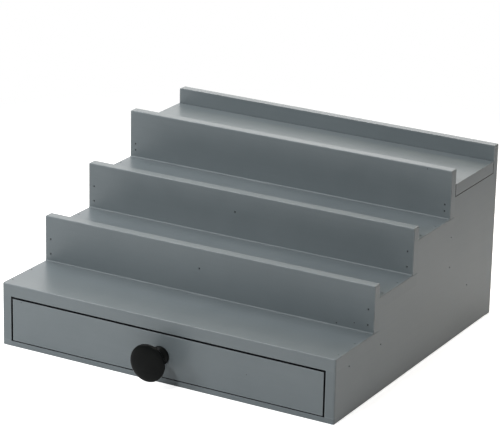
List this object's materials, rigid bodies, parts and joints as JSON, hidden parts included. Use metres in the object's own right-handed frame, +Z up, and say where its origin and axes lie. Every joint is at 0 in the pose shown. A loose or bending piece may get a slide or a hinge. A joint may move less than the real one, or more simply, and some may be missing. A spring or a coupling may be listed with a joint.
{
  "type": "cologne organizer",
  "caption": "Stepped wooden display stand with raised lips along its tiers, a knobbed drawer in the base and a loose top tier over a hidden compartment.",
  "frame": {"origin": "middle of the rectangular footprint of the stand, knob not counted, on the surface it rests on", "axes": "+X along the drawer front to the right as seen from the front, +Y from the front to the back, +Z up"},
  "size_m": [0.33, 0.3284, 0.1625],
  "materials": {
    "grey_paint": "satin blue-grey paint",
    "brad_wire": "dark wire",
    "black_knob": "satin black",
    "screw_steel": "zinc plated"
  },
  "bodies": {
    "carcase": {"left_side_panel": "grey_paint", "right_side_panel": "grey_paint", "bottom_panel": "grey_paint", "back_panel": "grey_paint", "tier_1_shelf": "grey_paint", "tier_2_shelf": "grey_paint", "tier_3_shelf": "grey_paint", "riser_1": "grey_paint", "riser_2": "grey_paint", "riser_3": "grey_paint", "dust_panel": "grey_paint", "compartment_partition": "grey_paint", "riser_nails": "brad_wire", "shelf_nails": "brad_wire", "side_nails": "brad_wire", "back_nails": "brad_wire", "bottom_nails": "brad_wire"},
    "drawer": {"drawer_front": "grey_paint", "drawer_left_side": "grey_paint", "drawer_right_side": "grey_paint", "drawer_back": "grey_paint", "drawer_bottom": "grey_paint", "drawer_nails": "brad_wire", "drawer_knob": "black_knob", "knob_screw": "screw_steel"},
    "lid": {"compartment_lid": "grey_paint", "lid_left_cleat": "grey_paint", "lid_right_cleat": "grey_paint", "lid_nails": "brad_wire"}
  },
  "joints": [
    {"name": "drawer_slide", "type": "slide", "parent": "carcase", "child": "drawer", "axis": [0, -1, 0], "range_m": [0, 0.2]},
    {"name": "lid_lift", "type": "slide", "parent": "carcase", "child": "lid", "axis": [0, 0, 1], "range_m": [0, 0.1]}
  ]
}
